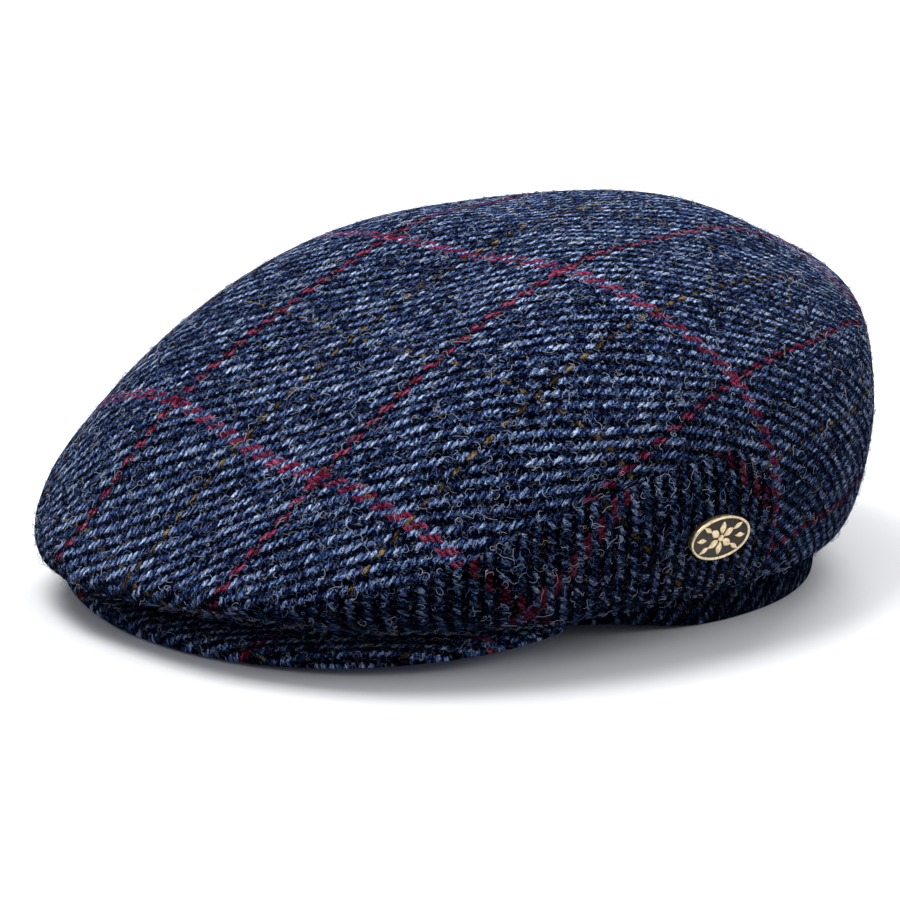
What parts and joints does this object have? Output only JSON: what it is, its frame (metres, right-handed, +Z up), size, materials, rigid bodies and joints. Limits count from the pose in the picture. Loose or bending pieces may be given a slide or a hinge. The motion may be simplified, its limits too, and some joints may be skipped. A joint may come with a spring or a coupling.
{
  "type": "flat cap",
  "caption": "Soft wool tweed flat cap with a short stiff peak, a set-in headband and a small oval metal badge on one side.",
  "frame": {"origin": "under the middle of the cap's box, on the surface that the cap rests on", "axes": "+Z up; -Y to the front, where the peak is; +X to the wearer's left, where the badge is"},
  "size_m": [0.2084, 0.2694, 0.1015],
  "materials": {
    "tweed": "matte brushed wool twill, navy with crimson and ochre overchecks",
    "band_tweed": "matte brushed wool twill",
    "antique_brass": "antiqued, worn bright on the raised lines"
  },
  "bodies": {
    "root": {"crown_top": "tweed", "side_panel_left": "tweed", "side_panel_right": "tweed", "headband": "band_tweed", "peak": "tweed", "badge": "antique_brass"}
  },
  "joints": []
}
